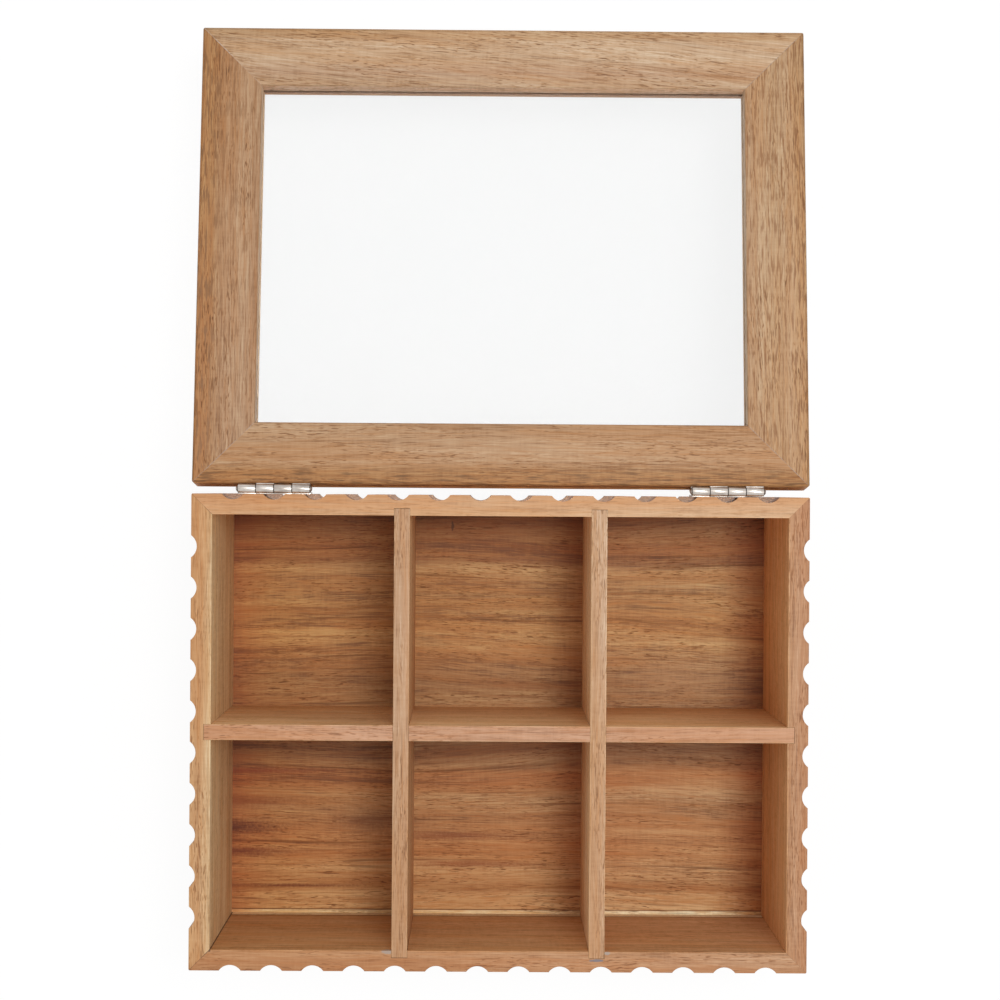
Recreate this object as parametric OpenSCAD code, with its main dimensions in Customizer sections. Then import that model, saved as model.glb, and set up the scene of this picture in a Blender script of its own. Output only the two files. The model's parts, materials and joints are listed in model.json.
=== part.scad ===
// Tea bag box: six compartments, fluted walls, glass lid on two small hinges.
// Millimetres. The origin is the centre of the underside, +Z is up and +Y
// points to the hinges. The lid is drawn open, thrown back just past level,
// and turns about +X to close.

/* [Box] */
// Outside width, left to right
box_w = 240; // [210:1:320]
// Outside depth, front to back
box_d = 185; // [150:1:240]
// Height of the walls
box_h = 74; // [50:1:90]
// Thickness of the walls between the flutes
wall_t = 8; // [7:0.5:12]
// Thickness of the floor panel
floor_t = 4; // [3:0.5:6]
// How far the floor panel reaches under the walls
floor_seat = 4; // [2.5:0.5:4.5]

/* [Flutes] */
// Distance from one flute to the next
flute_pitch = 16; // [14:0.5:20]
// Radius of the round cutter that makes a flute
flute_r = 5.2; // [4.5:0.1:6]
// Depth of a flute
flute_deep = 2.2; // [1:0.1:2.4]
// Least distance from a corner to the middle of a flute
flute_margin = 14; // [12:1:20]

/* [Dividers] */
// Thickness of the dividers
divider_t = 6; // [4:0.5:8]
// Depth of the housings that the dividers end in
housing_deep = 3; // [1.5:0.5:3]
// Gap between a divider's end and the bottom of its housing
housing_end_gap = 0.4; // [0.2:0.1:1]

/* [Lid] */
// Thickness of the lid frame
lid_t = 12; // [11:0.5:18]
// Width of the lid's frame members
frame_w = 24; // [18:1:32]
// Gap between the closed lid and the walls
lid_gap = 0.3; // [0.2:0.1:1]
// How far the closed lid's front edge stands back from the front wall's face
lid_setback = 1.5; // [0:0.5:3]
// Rounding along the lid's outer edges
edge_r = 1; // [0.4:0.1:2]
// Rounding along the edges round the window
window_edge_r = 0.4; // [0.2:0.1:1]
// Rounding of the two corners at the hinges, seen from above
corner_r_hinge = 1.2; // [0.5:0.1:5]
// Rounding of the two front corners, seen from above
corner_r_front = 1.2; // [0.5:0.1:5]
// Thickness of the glass
glass_t = 2; // [1.5:0.5:3]
// Wood between the glass and the lid's underside
under_lip = 5.9; // [4:0.1:6]
// How far the glass reaches into the frame
glass_bite = 4.6; // [3:0.1:8]
// How far past level the lid stands open, in degrees
open_past_level = 7.5; // [2:0.5:9]

/* [Hinges] */
// Length of the hinge barrel
hinge_len = 28; // [26:1:32]
// Height of a leaf, measured from the pin
leaf_h = 10; // [9:0.5:10.5]
// Thickness of the leaves
leaf_t = 0.8; // [0.6:0.1:1]
// Outside diameter of the barrel
barrel_d = 3.5; // [3.2:0.1:4]
// Gap between the barrel and the wood behind it
barrel_gap = 0.35; // [0.3:0.05:0.6]
// Diameter of the pin
pin_d = 1.9; // [1.5:0.1:2]
// Diameter of the pin's domed ends
pin_head_d = 2.7; // [2.4:0.1:3]
// How far the pin's domed ends stand out
pin_head_h = 0.75; // [0.4:0.05:1]

/* [Screws] */
// Distance from the pin down to the screws
screw_drop = 5.8; // [5.2:0.1:6.2]
// Diameter of the screw shank
screw_d = 2; // [1.6:0.1:2.4]
// Length of a screw below the leaf's face
screw_len = 6.5; // [4:0.5:6.5]
// Diameter of the screw head
screw_head_d = 3.8; // [3.4:0.1:4.2]

/* [Clearances] */
// Side gap of a divider in its housing and of the floor in its rabbet
joint_gap = 0.1; // [0.05:0.05:0.3]
// Gap round the glass inside its groove
glass_gap = 0.1; // [0.05:0.05:0.3]
// Radial gap between the pin and the knuckles
pin_gap = 0.05; // [0.02:0.01:0.1]
// Gap between two knuckles
knuckle_gap = 0.15; // [0.1:0.05:0.3]
// Radial gap between a screw and the wood or leaf round it
screw_gap = 0.05; // [0.02:0.01:0.1]
// Gap between the screw heads of the two leaves where they stop the open lid
stop_gap = 0.3; // [0.2:0.1:0.5]

/* [Hidden] */
$fn = 48;
cut = 1;                      // how far a cutter runs past the face it opens

inner_w = box_w - 2 * wall_t;
inner_d = box_d - 2 * wall_t;
floor_w = inner_w + 2 * floor_seat;
floor_d = inner_d + 2 * floor_seat;

columns = 3;
column_w = (inner_w - (columns - 1) * divider_t) / columns;
divider_x = (column_w + divider_t) / 2;
divider_h = box_h - floor_t;
housing_w = divider_t + 2 * joint_gap;
divider_reach = housing_deep - housing_end_gap;

lid_w = box_w;
lid_d = box_d - lid_setback;
window_w = lid_w - 2 * frame_w;
window_d = lid_d - 2 * frame_w;
groove_h = glass_t + 2 * glass_gap;
groove_deep = glass_bite + 2 * glass_gap;

barrel_r = barrel_d / 2;
pin_off = barrel_r + barrel_gap;          // from the back face out to the pin
pin_y = box_d / 2 + pin_off;
pin_z = box_h + lid_gap / 2;
knuckles = 4;
knuckle_len = hinge_len / knuckles;
open_angle = 180 + open_past_level;
leaf_face = pin_off - leaf_t;             // from the pin to a leaf's open face

// The domed heads are as tall as it takes for the heads of the box leaf and
// of the lid leaf to meet when the lid stands open.
screw_head_rise = leaf_face - (screw_drop * sin(open_past_level) + stop_gap) / 2;
screw_tip = 1.5;                          // length of the screw's point
recess_w = 0.45;                          // cross recess in the screw head
recess_len = 2.1;
recess_deep = 0.6;

function flute_count(length) = floor((length - 2 * flute_margin) / flute_pitch) + 1;
function flute_at(i, length) = (i - (flute_count(length) - 1) / 2) * flute_pitch;

// A hinge sits over the second flute from the corner, so that its screws,
// one pitch apart, go into the full wood on either side of that flute.
hinge_x = flute_at(flute_count(box_w) - 2, box_w);

WALL = [0.78, 0.58, 0.38];
FLOOR = [0.58, 0.38, 0.22];
DIVIDER = [0.82, 0.64, 0.46];
LID = [0.74, 0.58, 0.41];
NICKEL = [0.76, 0.76, 0.74];
GLASS = [0.85, 0.93, 0.92, 0.35];

// ---- the fluted walls ----

// A wall lies along X with its outer face at y = 0 and its inner face at
// y = wall_t. Its ends are mitred, and a housing is cut at each of housings.
module wall(length, housings) {
    difference() {
        linear_extrude(box_h) difference() {
            polygon([
                [-length / 2, 0],
                [length / 2, 0],
                [length / 2 - wall_t, wall_t],
                [-length / 2 + wall_t, wall_t]
            ]);
            for (i = [0 : flute_count(length) - 1])
                translate([flute_at(i, length), flute_deep - flute_r]) circle(r = flute_r);
            for (x = housings)
                translate([x - housing_w / 2, wall_t - housing_deep])
                    square([housing_w, housing_deep + cut]);
        }
        translate([-length / 2, wall_t - floor_seat - joint_gap, -cut])
            cube([length, floor_seat + joint_gap + cut, floor_t + cut]);
    }
}

module front_wall() {
    color(WALL) translate([0, -box_d / 2, 0]) wall(box_w, [-divider_x, divider_x]);
}

module back_wall() {
    color(WALL) difference() {
        translate([0, box_d / 2, 0]) rotate(180) wall(box_w, [-divider_x, divider_x]);
        for (side = [-1, 1]) at_box_leaf(side) leaf_screw_places() pilot_hole();
    }
}

module left_wall() {
    color(WALL) translate([-box_w / 2, 0, 0]) rotate(-90) wall(box_d, [0]);
}

module right_wall() {
    color(WALL) translate([box_w / 2, 0, 0]) rotate(90) wall(box_d, [0]);
}

module floor_panel() {
    color(FLOOR) translate([-floor_w / 2, -floor_d / 2, 0]) cube([floor_w, floor_d, floor_t]);
}

// ---- the dividers, halved over each other ----

// Runs front to back, with its halving slot open below.
module long_divider(x) {
    length = inner_d + 2 * divider_reach;
    translate([x, 0, floor_t]) difference() {
        translate([-divider_t / 2, -length / 2, 0]) cube([divider_t, length, divider_h]);
        translate([-divider_t / 2 - cut, -housing_w / 2, -cut])
            cube([divider_t + 2 * cut, housing_w, divider_h / 2 + cut]);
    }
}

module divider_left() {
    color(DIVIDER) long_divider(-divider_x);
}

module divider_right() {
    color(DIVIDER) long_divider(divider_x);
}

// Runs left to right, with its halving slots open above.
module divider_cross() {
    length = inner_w + 2 * divider_reach;
    color(DIVIDER) translate([0, 0, floor_t]) difference() {
        translate([-length / 2, -divider_t / 2, 0]) cube([length, divider_t, divider_h]);
        for (x = [-divider_x, divider_x])
            translate([x - housing_w / 2, -divider_t / 2 - cut, divider_h / 2])
                cube([housing_w, divider_t + 2 * cut, divider_h / 2 + cut]);
    }
}

// ---- the lid ----

// Turns what is drawn about the pin line from closed to open.
module opened() {
    translate([0, pin_y, pin_z]) rotate([-open_angle, 0, 0])
        translate([0, -pin_y, -pin_z]) children();
}

// The lid's own place: its middle, with z = 0 at the closed lid's underside.
module on_lid() {
    opened() translate([0, lid_setback / 2, box_h + lid_gap]) children();
}

// Section of a frame member: outer edge at x = 0, underside at y = 0.
module bar_section() {
    difference() {
        union() {
            translate([edge_r, 0]) square([frame_w - edge_r - window_edge_r, lid_t]);
            translate([0, edge_r]) square([frame_w / 2, lid_t - 2 * edge_r]);
            translate([frame_w / 2, window_edge_r])
                square([frame_w / 2, lid_t - 2 * window_edge_r]);
            for (y = [edge_r, lid_t - edge_r]) translate([edge_r, y]) circle(r = edge_r);
            for (y = [window_edge_r, lid_t - window_edge_r])
                translate([frame_w - window_edge_r, y]) circle(r = window_edge_r);
        }
        translate([frame_w - groove_deep, under_lip]) square([groove_deep + cut, groove_h]);
    }
}

// A frame member along X, its outer edge at y = 0, mitred at both ends.
module frame_bar(length) {
    intersection() {
        translate([-length / 2 - cut, 0, 0]) rotate([90, 0, 90])
            linear_extrude(length + 2 * cut) bar_section();
        translate([0, 0, -cut]) linear_extrude(lid_t + 2 * cut) polygon([
            [-length / 2 - cut, -cut],
            [length / 2 + cut, -cut],
            [length / 2 - frame_w - cut, frame_w + cut],
            [-length / 2 + frame_w + cut, frame_w + cut]
        ]);
    }
}

// What a rounded corner of radius r takes off, at the lid's corner (sx, sy).
module corner_waste(sx, sy, r) {
    translate([sx * (lid_w / 2 - r), sy * (lid_d / 2 - r), -cut]) difference() {
        translate([sx > 0 ? 0 : -r - cut, sy > 0 ? 0 : -r - cut, 0])
            cube([r + cut, r + cut, lid_t + 2 * cut]);
        translate([0, 0, -cut]) cylinder(r = r, h = lid_t + 4 * cut);
    }
}

module lid_front_rail() {
    color(LID) on_lid() difference() {
        translate([0, -lid_d / 2, 0]) frame_bar(lid_w);
        for (sx = [-1, 1]) corner_waste(sx, -1, corner_r_front);
    }
}

module lid_hinge_rail() {
    color(LID) difference() {
        on_lid() difference() {
            translate([0, lid_d / 2, 0]) rotate(180) frame_bar(lid_w);
            for (sx = [-1, 1]) corner_waste(sx, 1, corner_r_hinge);
        }
        for (side = [-1, 1]) at_lid_leaf(side) leaf_screw_places() pilot_hole();
    }
}

module side_stile(sx) {
    on_lid() difference() {
        translate([sx * lid_w / 2, 0, 0]) rotate(sx * 90) frame_bar(lid_d);
        corner_waste(sx, -1, corner_r_front);
        corner_waste(sx, 1, corner_r_hinge);
    }
}

module lid_left_stile() {
    color(LID) side_stile(-1);
}

module lid_right_stile() {
    color(LID) side_stile(1);
}

module glass_pane() {
    w = window_w + 2 * glass_bite;
    d = window_d + 2 * glass_bite;
    color(GLASS) on_lid() translate([-w / 2, -d / 2, under_lip + glass_gap]) cube([w, d, glass_t]);
}

// ---- the hinges ----
// A hinge is drawn about its own pin: the pin lies along X through the
// origin, and the box leaf hangs down behind y = -leaf_face.

module at_box_leaf(side) {
    translate([side * hinge_x, pin_y, pin_z]) children();
}

module at_lid_leaf(side) {
    at_box_leaf(side) rotate([-open_angle, 0, 0]) mirror([0, 0, 1]) children();
}

// The two screws of a leaf, with +Z standing out of the leaf's open face.
module leaf_screw_places() {
    for (x = [-flute_pitch / 2, flute_pitch / 2])
        translate([x, -leaf_face, -screw_drop]) rotate([-90, 0, 0]) children();
}

// A knuckle's place along the barrel, widened by grow at each end.
module knuckle_span(k, grow, r) {
    translate([-hinge_len / 2 + k * knuckle_len - grow, 0, 0]) rotate([0, 90, 0])
        cylinder(r = r, h = knuckle_len + 2 * grow);
}

// A leaf with its own knuckles, notched for those of the other leaf.
module hinge_leaf(own, other) {
    notch = barrel_r + barrel_gap / 2;
    difference() {
        union() {
            translate([-hinge_len / 2, -pin_off, -leaf_h]) cube([hinge_len, leaf_t, leaf_h]);
            for (k = own) knuckle_span(k, -knuckle_gap / 2, barrel_r);
        }
        for (k = other)
            translate([-hinge_len / 2 + k * knuckle_len - knuckle_gap / 2, -pin_off - cut, -notch])
                cube([knuckle_len + knuckle_gap, pin_off + cut, notch + cut]);
        translate([-hinge_len / 2 - cut, 0, 0]) rotate([0, 90, 0])
            cylinder(r = pin_d / 2 + pin_gap, h = hinge_len + 2 * cut);
        leaf_screw_places() translate([0, 0, -leaf_t])
            cylinder(r1 = screw_d / 2 + screw_gap, r2 = screw_head_d / 2 + screw_gap, h = leaf_t);
    }
}

// A spherical cap with a base of radius r and a height of h.
module dome(r, h) {
    ball_r = (r * r + h * h) / (2 * h);
    intersection() {
        translate([0, 0, h - ball_r]) sphere(r = ball_r);
        translate([-r - cut, -r - cut, 0]) cube([2 * (r + cut), 2 * (r + cut), h + cut]);
    }
}

module hinge_pin() {
    rotate([0, 90, 0]) translate([0, 0, -hinge_len / 2 - pin_gap])
        cylinder(r = pin_d / 2, h = hinge_len + 2 * pin_gap);
    for (end = [0, 1]) mirror([end, 0, 0])
        translate([hinge_len / 2 + pin_gap, 0, 0]) rotate([0, 90, 0])
            dome(pin_head_d / 2, pin_head_h);
}

// A countersunk screw with a domed head: z = 0 is the leaf's open face.
module screw() {
    difference() {
        union() {
            dome(screw_head_d / 2, screw_head_rise);
            translate([0, 0, -leaf_t])
                cylinder(r1 = screw_d / 2, r2 = screw_head_d / 2, h = leaf_t);
            translate([0, 0, screw_tip - screw_len])
                cylinder(r = screw_d / 2, h = screw_len - screw_tip - leaf_t);
            translate([0, 0, -screw_len])
                cylinder(r1 = screw_d / 10, r2 = screw_d / 2, h = screw_tip);
        }
        for (turn = [0, 90]) rotate(turn)
            translate([-recess_w / 2, -recess_len / 2, screw_head_rise - recess_deep])
                cube([recess_w, recess_len, recess_deep + cut]);
    }
}

// The hole for a screw in the wood behind a leaf.
module pilot_hole() {
    translate([0, 0, -screw_len - screw_gap])
        cylinder(r = screw_d / 2 + screw_gap, h = screw_len + screw_gap);
}

module hinge_box_leaf_left() {
    color(NICKEL) at_box_leaf(-1) hinge_leaf([0, 2], [1, 3]);
}

module hinge_box_leaf_right() {
    color(NICKEL) at_box_leaf(1) hinge_leaf([0, 2], [1, 3]);
}

module hinge_lid_leaf_left() {
    color(NICKEL) at_lid_leaf(-1) hinge_leaf([1, 3], [0, 2]);
}

module hinge_lid_leaf_right() {
    color(NICKEL) at_lid_leaf(1) hinge_leaf([1, 3], [0, 2]);
}

module hinge_pin_left() {
    color(NICKEL) at_box_leaf(-1) hinge_pin();
}

module hinge_pin_right() {
    color(NICKEL) at_box_leaf(1) hinge_pin();
}

module box_leaf_screws_left() {
    color(NICKEL) at_box_leaf(-1) leaf_screw_places() screw();
}

module box_leaf_screws_right() {
    color(NICKEL) at_box_leaf(1) leaf_screw_places() screw();
}

module lid_leaf_screws_left() {
    color(NICKEL) at_lid_leaf(-1) leaf_screw_places() screw();
}

module lid_leaf_screws_right() {
    color(NICKEL) at_lid_leaf(1) leaf_screw_places() screw();
}

front_wall();
back_wall();
left_wall();
right_wall();
floor_panel();
divider_left();
divider_right();
divider_cross();
lid_front_rail();
lid_hinge_rail();
lid_left_stile();
lid_right_stile();
glass_pane();
hinge_box_leaf_left();
hinge_box_leaf_right();
hinge_lid_leaf_left();
hinge_lid_leaf_right();
hinge_pin_left();
hinge_pin_right();
box_leaf_screws_left();
box_leaf_screws_right();
lid_leaf_screws_left();
lid_leaf_screws_right();
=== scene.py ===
# %% [markdown]
# # A wooden tea bag box with fluted walls and a glass lid
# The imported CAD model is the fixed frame: every board, leaf and screw already
# has its place and size. This lesson dresses it: it fits the camera, lights the
# box, cuts the flutes again with Geometry Nodes, eases the sharp edges as
# sandpaper would, and grows the wood, the nickel and the glass from nodes.

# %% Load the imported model
import json
import math

import bmesh
import bpy
from mathutils import Euler, Matrix, Vector


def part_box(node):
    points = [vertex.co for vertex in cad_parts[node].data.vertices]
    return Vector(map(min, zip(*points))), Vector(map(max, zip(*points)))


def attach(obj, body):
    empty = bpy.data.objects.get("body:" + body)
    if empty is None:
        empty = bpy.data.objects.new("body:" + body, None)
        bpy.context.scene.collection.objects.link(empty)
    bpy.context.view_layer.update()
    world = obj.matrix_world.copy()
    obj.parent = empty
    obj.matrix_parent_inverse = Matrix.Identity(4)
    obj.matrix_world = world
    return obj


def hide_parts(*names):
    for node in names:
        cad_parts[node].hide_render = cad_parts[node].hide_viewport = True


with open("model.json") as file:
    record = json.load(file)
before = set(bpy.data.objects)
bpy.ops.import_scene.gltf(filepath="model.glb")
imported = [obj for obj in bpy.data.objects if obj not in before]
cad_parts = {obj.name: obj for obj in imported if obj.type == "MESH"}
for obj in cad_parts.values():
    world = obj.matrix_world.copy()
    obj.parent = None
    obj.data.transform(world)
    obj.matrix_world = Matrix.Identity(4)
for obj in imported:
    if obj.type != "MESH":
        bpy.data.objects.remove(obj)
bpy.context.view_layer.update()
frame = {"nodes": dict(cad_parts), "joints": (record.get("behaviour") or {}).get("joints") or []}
nodes = frame["nodes"]
MM = 0.001
hinge = frame["joints"][0]
pin = Vector(hinge["pos_m"])
past_level = math.radians(hinge["range_deg"][1] - 180)
print("nodes:", len(nodes), "- lid open past level by", round(math.degrees(past_level), 1), "degrees")

# %% [markdown]
# ## The camera
# The photograph looks straight down from above the hinges: the back wall's outer
# face is edge on, and the inner face of the front wall shows. The place and the
# small tilts were solved from the edges of the box and the lid, and the focal
# length from how much the inner walls shrink towards the floor.

# %% Make the camera
SENSOR_WIDTH, FOCAL_LENGTH = 36, 72.44  # millimetres
CAMERA_PLACE = (-0.0065, 0.094, 0.85443)  # metres from the middle of the box's underside
CAMERA_TILT = (-0.2416, -0.4452, 0.3995)  # degrees
lens = bpy.data.cameras.new("camera")
lens.sensor_width = SENSOR_WIDTH
lens.lens = FOCAL_LENGTH
lens.clip_start = 0.01
camera = bpy.data.objects.new("camera", lens)
bpy.context.scene.collection.objects.link(camera)
camera.location = CAMERA_PLACE
camera.rotation_euler = Euler([math.radians(turn) for turn in CAMERA_TILT])
bpy.context.scene.camera = camera
bpy.context.scene.view_settings.view_transform = "Standard"
print("camera height above the table:", round(camera.location.z, 3), "m")

# %% [markdown]
# ## A helper for node trees
# Shaders and Geometry Nodes are built the same way here: add a node, set its
# options, then fill its sockets. A socket gets a plain value, or a link when
# the value is another node's output.


# %% Add nodes in one line each
def step(tree, kind, fills=None, **options):
    """Adds a node of that kind; fills maps socket names or numbers to values or outputs."""
    made = tree.nodes.new(kind)
    for option, value in options.items():
        setattr(made, option, value)
    for name, value in (fills or {}).items():
        socket = made.inputs[name]
        if isinstance(value, bpy.types.NodeSocket):
            tree.links.new(value, socket)
        else:
            socket.default_value = value
    return made


def maths(tree, operation, *values, clamp=False):
    """One step of arithmetic; returns its output."""
    fills = dict(enumerate(values))
    return step(tree, "ShaderNodeMath", fills, operation=operation, use_clamp=clamp).outputs[0]


def vector_maths(tree, operation, *values):
    """One step of vector arithmetic; returns its first output that carries the answer."""
    made = step(tree, "ShaderNodeVectorMath", dict(enumerate(values)), operation=operation)
    return made.outputs["Value" if operation in ("DOT_PRODUCT", "LENGTH") else "Vector"]


def remap(tree, value, low, high, to_low=0.0, to_high=1.0):
    """Stretches value from low..high to to_low..to_high with soft ends."""
    fills = {0: value, 1: low, 2: high, 3: to_low, 4: to_high}
    return step(tree, "ShaderNodeMapRange", fills, interpolation_type="SMOOTHSTEP").outputs[0]


def blend(tree, share, first, second, way="MIX"):
    """Mixes two colours by share."""
    fills = {0: share, 6: first, 7: second}
    made = step(tree, "ShaderNodeMix", fills, data_type="RGBA", blend_type=way)
    return made.outputs[2]


def stretched_noise(tree, place, stretch, detail=2.0, output=0):
    """Noise whose grains per metre along x, y and z are given by stretch."""
    scaled = vector_maths(tree, "MULTIPLY", place, stretch)
    fills = {"Vector": scaled, "Scale": 1.0, "Detail": detail, "Roughness": 0.55}
    return step(tree, "ShaderNodeTexNoise", fills).outputs[output]


def tone(red, green, blue):
    """A colour as a paint chart gives it, 0 to 255 a channel, turned into the light it sends."""
    def light(level):
        level = level / 255
        return level / 12.92 if level <= 0.04045 else ((level + 0.055) / 1.055) ** 2.4
    return (light(red), light(green), light(blue), 1.0)


# %% [markdown]
# ## Background and light
# The photograph is lit from all round by a white studio, with more light from
# above, a little to the right and behind, which leaves a soft shade along the
# right and back sides of each compartment. A large area lamp does that, and a
# pale world fills in. A world that is as bright as the photograph's background
# would drown the shade, so it is white only for the rays that show it.


# %% Light the scene
def seen_share(tree):
    """1 for rays that show the background: from the camera, from a mirror or through glass."""
    path = step(tree, "ShaderNodeLightPath")
    names = ("Is Camera Ray", "Is Glossy Ray", "Is Transmission Ray")
    first, second, third = (path.outputs[name] for name in names)
    return maths(tree, "MAXIMUM", maths(tree, "MAXIMUM", first, second), third)


FILL_LIGHT = 0.58
KEY_PLACE, KEY_AIM = Vector((0.30, 0.26, 1.6)), Vector((0, 0.05, 0))
KEY_SIZE, KEY_POWER = 0.5, 10.9  # metres and watts
world = bpy.data.worlds.new("studio")
bpy.context.scene.world = world
world.use_nodes = True
sky = world.node_tree
sky.nodes.clear()
strength = maths(sky, "ADD", maths(sky, "MULTIPLY", seen_share(sky), 1 - FILL_LIGHT), FILL_LIGHT)
background = step(sky, "ShaderNodeBackground", {"Color": (1, 1, 1, 1), "Strength": strength})
step(sky, "ShaderNodeOutputWorld", {"Surface": background.outputs[0]})

key = bpy.data.lights.new("softbox", "AREA")
key.shape = "SQUARE"
key.size = KEY_SIZE
key.energy = KEY_POWER
softbox = bpy.data.objects.new("softbox", key)
bpy.context.scene.collection.objects.link(softbox)
softbox.location = KEY_PLACE
softbox.rotation_euler = (KEY_AIM - KEY_PLACE).to_track_quat("-Z", "Y").to_euler()
print("softbox:", KEY_SIZE, "m wide,", round(KEY_PLACE.length, 2), "m from the box")

# %% [markdown]
# ## The white table
# The object stands on a plain white sheet. To the camera, in mirrors and through
# glass it glows almost white, and a faint share of plain paper keeps a soft
# shadow of the box on it. All other rays meet plain paper, so that it lights the
# box as paper would.

# %% Lay the table
TABLE_REACH, TABLE_DROP = 4, 0.2 * MM  # metres to each side, and how far it lies below the box
TABLE_GLOW, PAPER_WHITE, SHADOW_SHARE = 0.925, 0.8, 0.09
table_mesh = bpy.data.meshes.new("table")
table_shape = bmesh.new()
bmesh.ops.create_grid(table_shape, x_segments=1, y_segments=1, size=TABLE_REACH)
table_shape.to_mesh(table_mesh)
table_shape.free()
table = bpy.data.objects.new("table", table_mesh)
bpy.context.scene.collection.objects.link(table)
table.location.z = -TABLE_DROP

paper = bpy.data.materials.new("white_table")
paper.use_nodes = True
sheet = paper.node_tree
sheet.nodes.clear()
matt = step(sheet, "ShaderNodeBsdfDiffuse", {"Color": (PAPER_WHITE, PAPER_WHITE, PAPER_WHITE, 1)}).outputs[0]
shadow_grey = (SHADOW_SHARE, SHADOW_SHARE, SHADOW_SHARE, 1)
faint = step(sheet, "ShaderNodeBsdfDiffuse", {"Color": shadow_grey}).outputs[0]
glow = step(sheet, "ShaderNodeEmission", {"Strength": TABLE_GLOW}).outputs[0]
lifted = step(sheet, "ShaderNodeAddShader", {0: faint, 1: glow}).outputs[0]
surface = step(sheet, "ShaderNodeMixShader", {0: seen_share(sheet), 1: matt, 2: lifted})
step(sheet, "ShaderNodeOutputMaterial", {"Surface": surface.outputs[0]})
table_mesh.materials.append(paper)
print("table:", 2 * TABLE_REACH, "m square")

# %% [markdown]
# ## Planed hardwood
# Every board is the same kind of wood, cut from a different place in the log.
# Seen close, it is pale fibres with broad darker figure, and short dark pores
# that lie along the grain, each with a warm stain round it. One node group grows
# that in a board's own directions, x along the grain, y across it and z through
# it, from noise that is stretched along x. A high threshold on very fine noise
# leaves the separate dashes of the pores. Its height output feeds the bump, so
# that the pores are dips. A faint ripple across the grain is the figure of
# interlocked fibres, and much more of it would look like cloth.


# %% Grow the wood in one node group
STEP_IN_LOG = (0.913, 0.377, 0.719)  # metres from one board's cut to the next
BAND_SHARE, FIBRE_SHARE, RIPPLE_SHARE = 1.1, 2.1, 0.4


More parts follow.
